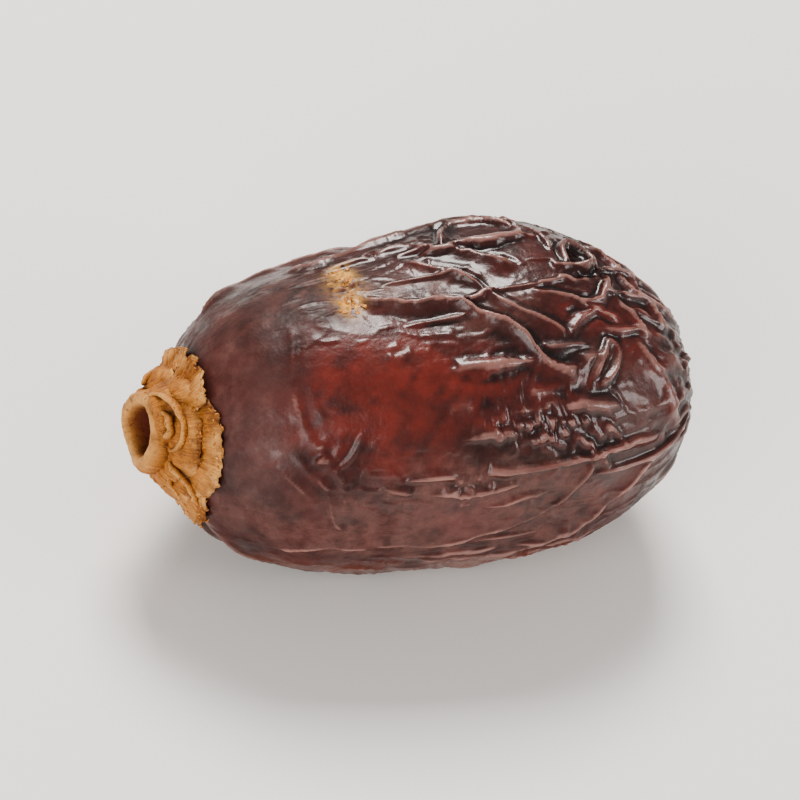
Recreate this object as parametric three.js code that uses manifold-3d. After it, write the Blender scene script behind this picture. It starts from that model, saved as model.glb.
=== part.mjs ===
// A dried date lying on its side, in millimetres, +Z up.
// The fruit is one solid: skin and flesh grew together. The dry calyx, a cap of three
// broad petals around the scar of the strand, comes off in one piece and is its own mesh.
// The fruit lies along X with the calyx at -X, and rests on a small flat underneath.
import * as THREE from 'three';
import { mergeVertices } from 'three/addons/utils/BufferGeometryUtils.js';
import Module from 'manifold-3d';

const wasm = await Module();
wasm.setup();

// Driving dimensions of the fruit
const fruitLength = 39;
const fruitWidth = 25;
const fruitHeight = 23;
const calyxBluntness = 0.77; // 1 gives a half ellipsoid, less gives a blunter end
const tipBluntness = 0.86;
const tipFullness = 0.045; // how much fatter the tip half is than the calyx half
const sideBend = 0.9; // the middle of the date bows this far towards +Y
const endRise = 0.5; // both ends stand this much higher than the middle
const fruitRings = 50;
const fruitSides = 60;

// The flat that the date rests on, and the hollow under the calyx
const restCut = 0.42; // how far above the lowest point the flat is
const cavityRadius = 1.7;
const cavityDepth = 3;
const cavitySides = 20;

// The calyx
const calyxRadius = 5.7;
const rimRadius = 2.95; // outside of the raised scar rim
const rimHeight = 3.1; // how far the rim stands out from the end of the fruit
const scarRadius = 1.35;
const scarDepth = 1.6;
const petalCount = 3;
const petalDepth = 0.07; // how deep the notches between petals are, as a part of the radius
const petalTurn = 0.5; // radians
const calyxSides = 48;
const calyxLift = 0.16; // radians, the cap faces a little upwards
const rimLift = 0.6; // the rim sits this far above the middle of the petals
const pegRadius = 1.15;
const pegLength = 2.3;
const pegSides = 16;
const gap = 0.3; // between the cap and the fruit

// Broad hollows and swellings of the flesh. along runs from -1 at the calyx to 1 at the tip,
// around is in degrees from +Y over the top, depth is in mm and inwards.
const hollows = [
  { along: -0.05, around: 88, depth: 0.5, reach: 0.3, spread: 20 },
  { along: 0.38, around: 56, depth: -1.5, reach: 0.45, spread: 30 },
  { along: -0.85, around: 70, depth: -1, reach: 0.3, spread: 45 },
  { along: 0.62, around: 112, depth: 0.35, reach: 0.2, spread: 18 },
  { along: -0.5, around: 150, depth: 0.35, reach: 0.16, spread: 40 },
  { along: 0.3, around: 178, depth: 0.5, reach: 0.4, spread: 16 },
  { along: -0.1, around: 132, depth: -0.3, reach: 0.35, spread: 22 },
  { along: 0.05, around: 26, depth: 0.9, reach: 0.5, spread: 15 },
  { along: -0.45, around: 55, depth: 0.4, reach: 0.22, spread: 20 },
  { along: 0.45, around: 352, depth: 0.6, reach: 0.3, spread: 16 },
  { along: -0.25, around: 330, depth: 0.7, reach: 0.35, spread: 18 },
  { along: -0.2, around: 212, depth: 0.45, reach: 0.4, spread: 14 },
  { along: 0.7, around: 40, depth: 0.5, reach: 0.2, spread: 20 },
];

function signedPower(value, power) {
  return Math.sign(value) * Math.abs(value) ** power;
}

function hollowDepth(along, around) {
  let depth = 0;
  for (const hollow of hollows) {
    let turn = THREE.MathUtils.radToDeg(around) - hollow.around;
    turn = THREE.MathUtils.euclideanModulo(turn + 180, 360) - 180;
    const lengthwise = ((along - hollow.along) / hollow.reach) ** 2;
    const sideways = (turn / hollow.spread) ** 2;
    depth += hollow.depth * Math.exp(-lengthwise - sideways);
  }
  return depth;
}

// A point of the skin. polar runs from 0 at the calyx end to pi at the tip.
function fruitPoint(polar, around, grow) {
  const bluntness = polar < Math.PI / 2 ? calyxBluntness : tipBluntness;
  const along = -signedPower(Math.cos(polar), bluntness);
  const ring = Math.sin(polar) ** bluntness * (1 + tipFullness * along);
  const lobes = 1 + 0.018 * Math.cos(3 * around + 0.6) + 0.01 * Math.cos(5 * around - 1.1);
  const sink = hollowDepth(along, around) * ring;
  const halfWidth = fruitWidth / 2 + grow - sink;
  const halfHeight = fruitHeight / 2 + grow - sink;
  const bow = 1 - along ** 2;
  return new THREE.Vector3(
    along * (fruitLength / 2 + grow),
    ring * lobes * halfWidth * Math.cos(around) + sideBend * bow,
    ring * lobes * halfHeight * Math.sin(around) - endRise * bow,
  );
}

// A closed skin of rings between two pole points
function closedSkin(rings, sides, pointAt) {
  const positions = [...pointAt(0, 0)];
  for (let ring = 1; ring < rings; ring += 1) {
    for (let side = 0; side < sides; side += 1) {
      positions.push(...pointAt(ring / rings, side / sides));
    }
  }
  positions.push(...pointAt(1, 0));
  const lastPole = positions.length / 3 - 1;
  const vertex = (ring, side) => 1 + (ring - 1) * sides + (side % sides);
  const faces = [];
  for (let side = 0; side < sides; side += 1) {
    faces.push(0, vertex(1, side), vertex(1, side + 1));
    faces.push(lastPole, vertex(rings - 1, side + 1), vertex(rings - 1, side));
    for (let ring = 1; ring < rings - 1; ring += 1) {
      faces.push(vertex(ring, side), vertex(ring + 1, side), vertex(ring + 1, side + 1));
      faces.push(vertex(ring, side), vertex(ring + 1, side + 1), vertex(ring, side + 1));
    }
  }
  const geometry = new THREE.BufferGeometry();
  geometry.setAttribute('position', new THREE.Float32BufferAttribute(positions, 3));
  geometry.setIndex(faces);
  return geometry;
}

function fruitGeometry(grow) {
  return closedSkin(fruitRings, fruitSides, (share, turn) =>
    fruitPoint(share * Math.PI, -turn * 2 * Math.PI, grow));
}

function toSolid(geometry) {
  const bare = geometry.clone();
  bare.deleteAttribute('normal');
  bare.deleteAttribute('uv');
  const merged = mergeVertices(bare, 1e-4);
  return new wasm.Manifold(new wasm.Mesh({
    numProp: 3,
    vertProperties: new Float32Array(merged.attributes.position.array),
    triVerts: new Uint32Array(merged.index.array),
  }));
}

function toGeometry(solid) {
  const mesh = solid.getMesh();
  const geometry = new THREE.BufferGeometry();
  geometry.setAttribute('position', new THREE.BufferAttribute(mesh.vertProperties, 3));
  geometry.setIndex(new THREE.BufferAttribute(mesh.triVerts, 1));
  const split = geometry.toNonIndexed();
  split.computeVertexNormals();
  return split;
}

function smoothStep(low, high, value) {
  return THREE.MathUtils.smoothstep(value, low, high);
}

// Turned shapes of the calyx stand on +Y; this lays them along -X at the end of the fruit.
// Their local +X then points up.
function layOnStemEnd(geometry) {
  const up = new THREE.Vector3(0, 0, 1);
  const outwards = new THREE.Vector3(-1, 0, 0);
  const front = new THREE.Vector3(0, -1, 0);
  geometry.applyMatrix4(new THREE.Matrix4().makeBasis(up, outwards, front));
  geometry.rotateY(calyxLift);
  geometry.translate(-fruitLength / 2, 0, 0);
  return geometry;
}

// The cap's outline: the floor of the scar, its raised rim, the collar, the petals and the
// underside, which is later shaped by the end of the fruit.
function calyxProfile() {
  const scarFloor = rimHeight - scarDepth;
  return [
    [0, scarFloor],
    [scarRadius * 0.7, scarFloor + 0.05],
    [scarRadius, scarFloor + 0.35],
    [scarRadius + 0.2, rimHeight - 0.35],
    [scarRadius + 0.5, rimHeight - 0.05],
    [rimRadius - 0.65, rimHeight],
    [rimRadius - 0.2, rimHeight - 0.3],
    [rimRadius, rimHeight - 0.9],
    [rimRadius + 0.25, rimHeight - 1.35],
    [rimRadius + 0.8, rimHeight - 1.65],
    [calyxRadius * 0.76, 0.95],
    [calyxRadius * 0.88, 0.5],
    [calyxRadius * 0.97, 0],
    [calyxRadius, -0.45],
    [calyxRadius * 0.98, -0.9],
    [calyxRadius * 0.88, -1.6],
    [calyxRadius * 0.5, -2.4],
    [0, -2.4],
  ].map(([radius, height]) => new THREE.Vector2(radius, height)).reverse();
}

function calyxGeometry() {
  const geometry = new THREE.LatheGeometry(calyxProfile(), calyxSides);
  const position = geometry.attributes.position;
  const point = new THREE.Vector3();
  for (let index = 0; index < position.count; index += 1) {
    point.fromBufferAttribute(position, index);
    const radius = Math.hypot(point.x, point.z);
    const angle = Math.atan2(point.z, point.x);
    const onPetal = smoothStep(rimRadius, calyxRadius * 0.9, radius);
    const onRim = smoothStep(0, scarRadius, radius) * (1 - onPetal);
    const petals = petalDepth * Math.cos(petalCount * (angle - petalTurn));
    const ragged = 0.025 * Math.cos(7 * angle + 1.3) + 0.015 * Math.cos(11 * angle);
    const corners = 0.05 * Math.cos(petalCount * angle + 1.9);
    const widen = 1 + onPetal * (petals + ragged) + onRim * corners;
    const ruffle = 0.14 * Math.cos(9 * angle + 0.4) * onPetal;
    const slope = 0.16 * Math.cos(angle * 2 + 0.8) * onRim;
    const above = point.y > 0 ? rimLift * (1 - onPetal) : 0;
    position.setXYZ(index, point.x * widen + above, point.y + ruffle + slope, point.z * widen);
  }
  return layOnStemEnd(geometry);
}

// The woody plug under the cap, which sits loose in the hollow of the fruit
function pegGeometry() {
  const outline = [[0, -pegLength], [pegRadius * 0.6, -pegLength], [pegRadius, -pegLength + 0.5],
    [pegRadius, 0.9], [0, 0.9]];
  const points = outline.map(([radius, height]) => new THREE.Vector2(radius, height));
  return layOnStemEnd(new THREE.LatheGeometry(points, pegSides));
}

function cavityGeometry() {
  const outline = [[0, -cavityDepth], [cavityRadius * 0.7, -cavityDepth + 0.2],
    [cavityRadius, -cavityDepth + 0.9], [cavityRadius * 1.15, 1], [0, 1]];
  const points = outline.map(([radius, height]) => new THREE.Vector2(radius, height));
  return layOnStemEnd(new THREE.LatheGeometry(points, cavitySides));
}

function belowRest(lowest) {
  const block = new THREE.BoxGeometry(fruitLength * 2, fruitWidth * 2, fruitHeight);
  block.translate(0, 0, lowest + restCut - fruitHeight / 2);
  return block;
}

function makeFruit() {
  const whole = toSolid(fruitGeometry(0));
  const lowest = whole.boundingBox().min[2];
  const hollowed = whole.subtract(toSolid(cavityGeometry()));
  const rested = hollowed.subtract(toSolid(belowRest(lowest)));
  const skin = new THREE.MeshStandardMaterial({ color: 0x3f1512, roughness: 0.35, metalness: 0 });
  const mesh = new THREE.Mesh(toGeometry(rested), skin);
  mesh.name = 'fruit';
  return mesh;
}

function makeCalyx() {
  const cap = toSolid(calyxGeometry()).subtract(toSolid(fruitGeometry(gap)));
  const whole = cap.add(toSolid(pegGeometry()));
  const husk = new THREE.MeshStandardMaterial({ color: 0xc88a3c, roughness: 0.8, metalness: 0 });
  const mesh = new THREE.Mesh(toGeometry(whole), husk);
  mesh.name = 'calyx';
  return mesh;
}

const date = new THREE.Group();
date.add(makeFruit(), makeCalyx());

// The origin is under the middle of the date's box, on the surface that it rests on.
const bounds = new THREE.Box3().setFromObject(date);
const middle = bounds.getCenter(new THREE.Vector3());
date.position.set(-middle.x, -middle.y, -bounds.min.z);

export default date;
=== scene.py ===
# A dried date on a pale table: dark wrinkled skin and the dry golden cap on its stem end
import math
import time

import bmesh
import bpy
import numpy as np
from mathutils import Matrix, Vector
from mathutils.bvhtree import BVHTree


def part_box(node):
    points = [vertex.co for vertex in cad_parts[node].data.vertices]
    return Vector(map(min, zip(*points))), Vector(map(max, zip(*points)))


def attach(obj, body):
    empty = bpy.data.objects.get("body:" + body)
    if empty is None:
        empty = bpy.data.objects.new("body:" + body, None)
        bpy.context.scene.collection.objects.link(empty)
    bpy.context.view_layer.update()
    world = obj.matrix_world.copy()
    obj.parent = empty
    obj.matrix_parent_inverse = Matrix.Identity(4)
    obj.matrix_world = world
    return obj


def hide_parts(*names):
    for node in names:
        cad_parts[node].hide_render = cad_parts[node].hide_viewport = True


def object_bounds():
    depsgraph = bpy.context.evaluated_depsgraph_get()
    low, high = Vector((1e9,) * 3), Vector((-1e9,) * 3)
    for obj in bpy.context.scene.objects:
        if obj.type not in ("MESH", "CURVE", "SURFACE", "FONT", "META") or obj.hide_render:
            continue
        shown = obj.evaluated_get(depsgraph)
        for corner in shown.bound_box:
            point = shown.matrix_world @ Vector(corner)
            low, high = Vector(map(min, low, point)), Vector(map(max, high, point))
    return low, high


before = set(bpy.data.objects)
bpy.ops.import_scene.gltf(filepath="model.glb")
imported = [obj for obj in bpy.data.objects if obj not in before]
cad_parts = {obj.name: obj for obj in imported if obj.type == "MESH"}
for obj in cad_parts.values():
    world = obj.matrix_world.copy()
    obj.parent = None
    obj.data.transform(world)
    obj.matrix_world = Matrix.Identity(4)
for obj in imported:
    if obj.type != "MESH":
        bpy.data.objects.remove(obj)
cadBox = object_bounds()
startTime = time.time()
mm = 0.001


def report(stage):
    print(f"{stage}, {time.time() - startTime:.0f} s")


# Camera, table and lights

viewSettings = {
    "azimuth": -28,  # degrees, 0 looks along +Y
    "elevation": 45,
    "roll": 13,
    "distance": 0.42,
    "frameWidth": 0.058,  # how much the view takes in at the date
    "sensor": 36,
    "aimLift": 0.48,  # share of the date's height
}


def placeCamera(s):
    low, high = cadBox
    aim = Vector(((low[0] + high[0]) / 2, (low[1] + high[1]) / 2, high[2] * s["aimLift"]))
    turn, rise = math.radians(s["azimuth"]), math.radians(s["elevation"])
    look = Vector((-math.sin(turn) * math.cos(rise), math.cos(turn) * math.cos(rise), -math.sin(rise)))
    camera = bpy.data.objects.new("camera", bpy.data.cameras.new("camera"))
    camera.data.sensor_width = s["sensor"]
    camera.data.lens = s["sensor"] * s["distance"] / s["frameWidth"]
    camera.data.clip_start = 0.01
    camera.location = aim - look * s["distance"]
    upright = look.to_track_quat("-Z", "Y").to_matrix().to_4x4()
    camera.rotation_euler = (upright @ rollMatrix(s["roll"])).to_euler()
    bpy.context.scene.collection.objects.link(camera)
    bpy.context.scene.camera = camera


def rollMatrix(degrees):
    return Matrix.Rotation(math.radians(degrees), 4, "Z")


lights = {
    # a big soft one high behind, which draws the pale sheen on the upper facets
    "key": {"at": (0.05, 0.28, 0.42), "size": 0.2, "power": 2.9, "colour": (1, 0.96, 0.92)},
    "front": {"at": (-0.34, -0.3, 0.22), "size": 0.36, "power": 1.9, "colour": (1, 0.98, 0.96)},
    "side": {"at": (0.36, -0.22, 0.16), "size": 0.16, "power": 0.6, "colour": (1, 0.98, 0.96)},
}

studio = {"colour": (1, 0.97, 0.94, 1), "strength": 0.36}

tableTop = {"half": 1.5, "colour": (0.84, 0.83, 0.81, 1), "roughness": 0.6}


def placeLights():
    for name, s in lights.items():
        data = bpy.data.lights.new(name, "AREA")
        data.size = s["size"]
        data.energy = s["power"]
        data.color = s["colour"]
        lamp = bpy.data.objects.new(name, data)
        lamp.location = s["at"]
        lamp.rotation_euler = (Vector((0, 0, 0.01)) - lamp.location).to_track_quat("-Z", "Y").to_euler()
        bpy.context.scene.collection.objects.link(lamp)
    world = bpy.data.worlds.new("studio")
    world.use_nodes = True
    background = world.node_tree.nodes["Background"]
    background.inputs["Color"].default_value = studio["colour"]
    background.inputs["Strength"].default_value = studio["strength"]
    bpy.context.scene.world = world
    bpy.context.scene.view_settings.view_transform = "AgX"
    bpy.context.scene.view_settings.look = "AgX - Medium High Contrast"


def layTable(s):
    half = s["half"]
    corners = [(-half, -half, 0), (half, -half, 0), (half, half, 0), (-half, half, 0)]
    mesh = bpy.data.meshes.new("table")
    mesh.from_pydata(corners, [], [(0, 1, 2, 3)])
    table = bpy.data.objects.new("table", mesh)
    bpy.context.scene.collection.objects.link(table)
    paint = bpy.data.materials.new("pale table")
    paint.use_nodes = True
    shader = paint.node_tree.nodes["Principled BSDF"]
    shader.inputs["Base Color"].default_value = s["colour"]
    shader.inputs["Roughness"].default_value = s["roughness"]
    mesh.materials.append(paint)


placeCamera(viewSettings)
placeLights()
layTable(tableTop)
report("camera, lights and table")


# The skin's grid, cast onto the flesh

skin = {
    "grid": (53, 24, 23),  # cells along, across and up, before the grid is made finer
    "finenings": 2,
    "cornerEase": 0.93,  # spreads the cells evenly over the round
    "bow": 0.9,  # how far the middle of the date bows to the back
    "endRise": 0.5,  # how far both ends stand up
    "crestCurl": 0.019,  # how sharply the skin turns at a full crest, mm
    "creaseHeight": 0.075,
    # no creases here: along, around, reach, spread, strength
    "calm": [(-0.85, 120, 0.3, 80, 0.75), (-0.35, 126, 0.25, 24, 0.8), (-0.2, 92, 0.2, 9, 0.6)],
    "stemMend": 2.6,  # the hollow under the cap is drawn smooth within this radius
}

fleshLow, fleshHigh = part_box("fruit")
fleshMid = (fleshLow + fleshHigh) / 2
fleshHalf = (fleshHigh - fleshLow) / 2


def boxGrid(counts):
    nx, ny, nz = counts
    index, points, quads = {}, [], []

    def corner(*cell):
        if cell not in index:
            index[cell] = len(points)
            points.append([2 * c / n - 1 for c, n in zip(cell, counts)])
        return index[cell]

    def face(*cells):
        quads.append([corner(*cell) for cell in cells])

    for j in range(ny):
        for k in range(nz):
            face((0, j, k), (0, j, k + 1), (0, j + 1, k + 1), (0, j + 1, k))
            face((nx, j, k), (nx, j + 1, k), (nx, j + 1, k + 1), (nx, j, k + 1))
    for i in range(nx):
        for k in range(nz):
            face((i, 0, k), (i + 1, 0, k), (i + 1, 0, k + 1), (i, 0, k + 1))
            face((i, ny, k), (i, ny, k + 1), (i + 1, ny, k + 1), (i + 1, ny, k))
        for j in range(ny):
            face((i, j, 0), (i, j + 1, 0), (i + 1, j + 1, 0), (i + 1, j, 0))
            face((i, j, nz), (i + 1, j, nz), (i + 1, j + 1, nz), (i, j + 1, nz))
    return np.array(points), np.array(quads)


def roundOff(cube, ease):
    # a box grid drawn out to a ball of even cells
    x, y, z = (np.tan(cube * math.pi / 4 * ease) / math.tan(math.pi / 4 * ease)).T
    xx, yy, zz = x * x, y * y, z * z
    return np.stack([
        x * np.sqrt(1 - yy / 2 - zz / 2 + yy * zz / 3),
        y * np.sqrt(1 - zz / 2 - xx / 2 + zz * xx / 3),
        z * np.sqrt(1 - xx / 2 - yy / 2 + xx * yy / 3)], 1)


def midline(along):
    # the date's middle at a place along it, -1 at the cap and 1 at the tip
    bow = 1 - np.asarray(along, float) ** 2
    x = fleshMid.x + fleshHalf.x * np.asarray(along, float)
    y = fleshMid.y + (bow - 0.4) * skin["bow"] * mm
    z = fleshMid.z - bow * skin["endRise"] * mm
    return np.stack([x, y, z], -1)


def placeOf(points):
    # along from -1 to 1, and around in degrees from the back over the top
    along = np.clip((points[:, 0] - fleshMid.x) / fleshHalf.x, -1, 1)
    off = points - midline(along)
    return along, np.degrees(np.arctan2(off[:, 2], off[:, 1])) % 360


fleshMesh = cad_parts["fruit"].data
fleshTree = BVHTree.FromPolygons(
    [v.co for v in fleshMesh.vertices], [p.vertices for p in fleshMesh.polygons])


def castOut(starts, towards):
    hits = np.empty_like(starts)
    for n, (start, aim) in enumerate(zip(starts, towards)):
        hits[n] = fleshTree.ray_cast(Vector(start), Vector(aim - start))[0]
    return hits


def skinOnFlesh(cube):
    ball = roundOff(cube, skin["cornerEase"])
    centre, half = np.array(fleshMid), np.array(fleshHalf)
    starts = np.repeat(centre[None], len(ball), 0)
    starts[:, 0] += ball[:, 0] * (half[0] - half[2])
    return castOut(starts, centre + ball * half)


def pointAt(along, around):
    # the point of the flesh at a place along and around it
    start = midline(along)
    angle = math.radians(around)
    return castOut(start[None], start[None] + [[0, math.cos(angle), math.sin(angle)]])[0]


# The skin shrinks: a sheet with more area than the flesh buckles into folds

def neighbours(quads, count):
    near, far = [[] for _ in range(count)], [[] for _ in range(count)]
    for quad in quads.tolist():
        for k in range(4):
            here, after, across = quad[k], quad[(k + 1) % 4], quad[(k + 2) % 4]
            near[here].append(after)
            near[after].append(here)
            far[here].append(across)
    table = []
    for v in range(count):
        ring = (list(dict.fromkeys(near[v])) + [v] * 4)[:4]
        table.append(ring + (list(dict.fromkeys(far[v])) + [v] * 4)[:4])
    return np.array(table)


def normalsOf(points, quads):
    face = np.cross(points[quads[:, 2]] - points[quads[:, 0]], points[quads[:, 3]] - points[quads[:, 1]])
    spread = np.repeat(face, 4, 0)
    total = np.stack([np.bincount(quads.ravel(), spread[:, k], len(points)) for k in range(3)], 1)
    return total / np.linalg.norm(total, axis=1, keepdims=True)


def finer(quads, *fields):
    # every quad into four
    count = len(fields[0])
    sides = np.sort(np.stack([quads, np.roll(quads, -1, 1)], 2).reshape(-1, 2), 1)
    pairs, which = np.unique(sides, axis=0, return_inverse=True)
    middle = count + which.reshape(-1, 4)
    centre = count + len(pairs) + np.arange(len(quads))
    parts = [np.stack([quads[:, k], middle[:, k], centre, middle[:, k - 1]], 1) for k in range(4)]
    grown = [np.concatenate([f, (f[pairs[:, 0]] + f[pairs[:, 1]]) / 2, f[quads].mean(1)]) for f in fields]
    return np.concatenate(parts), grown


def ringMean(values, table, count=4):
    return values[table[:, :count]].mean(1)


def waves(points, size, seed, count=14):
    # a smooth random field, about -1 to 1, with humps about as wide as size
    random = np.random.default_rng(seed)
    aims = random.normal(size=(count, 3))
    aims *= (random.uniform(0.6, 1.5, count) * math.pi / size / np.linalg.norm(aims, axis=1))[:, None]
    return np.cos(points @ aims.T + random.uniform(0, 6.28, count)).sum(1) / math.sqrt(count / 2) / 1.6


def smoothStep(low, high, value):
    t = np.clip((value - low) / (high - low), 0, 1)
    return t * t * (3 - 2 * t)


# Folds the date shows: places along and around, then height and half width in mm, and how far the
# fold leans to one side, so that side falls steeply
folds = [
    # the long pale ridge from the middle of the top down to the right
    ([(-0.34, 92), (-0.2, 97), (-0.05, 101), (0.1, 107), (0.2, 115), (0.27, 124), (0.33, 130),
      (0.4, 130)], 0.52, 0.36, 0.7),
    ([(-0.12, 76), (0.0, 83), (0.12, 95), (0.22, 105), (0.33, 112), (0.4, 120)], 0.34, 0.36, 0.5),
    ([(-0.2, 62), (-0.05, 68), (0.08, 75), (0.2, 83), (0.26, 90)], 0.34, 0.32, 0.4),
    # the oval hollow ringed by a fold, upper right
    ([(0.05, 70), (0.1, 60), (0.22, 56), (0.32, 60), (0.35, 68), (0.3, 76), (0.2, 77),
      (0.1, 74)], 0.44, 0.27, 0.2),
    ([(0.35, 56), (0.39, 62), (0.41, 72), (0.46, 82)], 0.26, 0.28, -0.4),
    # the ring fold and the crumpled ones after it
    ([(0.5, 87), (0.49, 79), (0.54, 74), (0.6, 77), (0.61, 85), (0.57, 90), (0.5, 89)], 0.75, 0.24, 0),
    ([(0.3, 98), (0.4, 103), (0.5, 105), (0.58, 100), (0.65, 92)], 0.3, 0.34, 0.5),
    ([(0.64, 70), (0.7, 80), (0.77, 90), (0.78, 100)], 0.3, 0.26, 0.5),
    ([(0.68, 88), (0.73, 96), (0.8, 106), (0.82, 118)], 0.28, 0.26, -0.5),
    ([(0.6, 94), (0.66, 102), (0.7, 112), (0.74, 124)], 0.24, 0.28, 0.5),
    ([(0.42, 92), (0.48, 96), (0.57, 93)], 0.24, 0.24, 0.4),
    # the leaf-shaped facet near the tip
    ([(0.44, 137), (0.5, 129), (0.54, 119), (0.58, 123), (0.585, 132), (0.53, 139),
      (0.45, 138)], 0.36, 0.23, 0.3),
    ([(0.4, 121), (0.46, 114), (0.52, 109), (0.62, 113)], 0.22, 0.34, -0.4),
    ([(0.66, 122), (0.73, 132), (0.8, 146), (0.84, 165)], 0.26, 0.4, 0.3),
    # the upright fold that ends the smooth stem third, and the creases across its foot
    ([(-0.62, 96), (-0.66, 112), (-0.67, 130), (-0.62, 146), (-0.56, 158), (-0.5, 172)], 0.15, 0.22, 0.6),
    ([(-0.72, 146), (-0.66, 156), (-0.58, 167), (-0.52, 181)], 0.15, 0.17, -0.5),
    ([(-0.79, 152), (-0.7, 162), (-0.63, 172)], 0.11, 0.16, -0.5),
    ([(-0.6, 156), (-0.5, 150), (-0.46, 141)], 0.14, 0.18, 0.5),
    ([(-0.6, 106), (-0.61, 122), (-0.57, 138)], 0.08, 0.17, 0.5),
    # the thin folds along the lower edge
    ([(-0.72, 198), (-0.5, 190), (-0.3, 187), (-0.1, 190), (0.15, 186), (0.32, 176),
      (0.46, 162)], 0.26, 0.36, -0.6),
    ([(-0.2, 200), (0.1, 202), (0.35, 196), (0.6, 182), (0.74, 168)], 0.3, 0.36, -0.5),
    ([(0.38, 150), (0.46, 158), (0.52, 168)], 0.2, 0.22, 0.4),
    ([(0.46, 149), (0.54, 156), (0.58, 164)], 0.16, 0.2, 0.4),
    # the grainy row below the middle
    ([(0.02, 144), (0.1, 149), (0.18, 146), (0.27, 149), (0.36, 147), (0.45, 149)], 0.1, 0.2, 0.2),
    ([(0.12, 141), (0.2, 143), (0.3, 140)], 0.16, 0.22, -0.2),
    # far side: long folds from the cap to the tip, meandering
    ([(-0.82, 38), (-0.5, 30), (-0.15, 38), (0.1, 30), (0.4, 34), (0.75, 40)], 0.5, 0.46, 0.5),
    ([(-0.7, 8), (-0.4, 14), (-0.1, 4), (0.2, 12), (0.5, 6), (0.8, 12)], 0.5, 0.46, -0.5),
    ([(-0.75, 344), (-0.45, 350), (-0.2, 338), (0.1, 346), (0.4, 338), (0.7, 344)], 0.46, 0.42, 0.5),
    ([(-0.6, 318), (-0.3, 326), (0.0, 314), (0.3, 322), (0.65, 314)], 0.4, 0.4, 0.5),
    ([(-0.3, 20), (-0.2, 26), (0.0, 22), (0.2, 24)], 0.34, 0.34, 0.3),
    ([(-0.5, 50), (-0.3, 56), (-0.15, 50), (0.0, 52)], 0.34, 0.36, 0.4),
    ([(0.3, 18), (0.45, 24), (0.6, 20), (0.7, 26)], 0.3, 0.3, -0.3),
    ([(-0.55, 228), (-0.2, 236), (0.1, 226), (0.5, 232), (0.7, 224)], 0.3, 0.4, 0.5),
]

# broad bulges and dents of the flesh: along, around, reach, spread, height in mm
swellings = [
    (-0.4, 128, 0.2, 26, 0.22), (-0.64, 128, 0.05, 60, -0.14), (-0.14, 88, 0.22, 12, 0.14),
    (0.2, 66, 0.1, 7, -0.4), (0.55, 82, 0.045, 5, -0.5), (0.06, 94, 0.2, 4, -0.22),
    (0.5, 129, 0.05, 5, 0.1), (0.1, 165, 0.3, 12, 0.16), (0.42, 112, 0.12, 6, -0.16),
    (-0.06, 166, 0.06, 4, 0.12), (0.75, 105, 0.14, 20, 0.12), (-0.5, 200, 0.3, 10, -0.15),
    (0.1, 20, 0.2, 8, -0.3), (-0.35, 0, 0.2, 8, -0.3), (0.3, 355, 0.2, 7, -0.28),
    (-0.1, 330, 0.3, 6, -0.3),
]

# where the skin has more or less to spare than elsewhere
loose = {
    "across": 0.09, "along": 0.03,
    "spots": [
        # along, around, reach, spread, across, lengthwise
        (-0.8, 120, 0.26, 75, -0.08, -0.05),  # the smooth stem third
        (-0.33, 126, 0.26, 24, -0.08, -0.05),  # the tight clear patch
        (-0.2, 92, 0.2, 9, -0.05, -0.03),
        (0.45, 82, 0.36, 26, -0.025, 0.03),  # the crumpled upper right, which has its own folds
        (0.75, 120, 0.14, 80, 0.01, 0.03),
        (0.3, 146, 0.25, 12, 0.03, 0.05),
        (-0.3, 180, 0.3, 14, -0.05, -0.02),
    ],
}


def spotMask(place, along, around, reach, spread):
    turn = (place[1] - around + 180) % 360 - 180
    return np.exp(-((place[0] - along) / reach) ** 2 - (turn / spread) ** 2)


def tipFolds(count, seed):
    # short folds that run out from the tip like spokes
    random = np.random.default_rng(seed)
    spokes = []
    for n in range(count):
        turn = (n + random.uniform(-0.3, 0.3)) * 360 / count
        start, bend = random.uniform(0.965, 0.99), random.uniform(-9, 9)
        end = random.uniform(0.72, 0.86)
        path = [(start, turn), (0.94, turn + bend * 0.5), (0.88, turn + bend), (end, turn + bend * 0.4)]
        height, width = random.uniform(0.13, 0.25), random.uniform(0.22, 0.34)
        spokes.append((path, height, width, random.uniform(-0.5, 0.5)))
    return spokes


def roundedPath(path, times=4):
    # corners cut again and again, so the line runs smooth
    path = np.array(path, float)
    for _ in range(times):
        early = path[:-1] * 0.75 + path[1:] * 0.25
        later = path[:-1] * 0.25 + path[1:] * 0.75
        cut = np.stack([early, later], 1).reshape(-1, path.shape[1])
        path = np.concatenate([path[:1], cut, path[-1:]])
    return path


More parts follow.
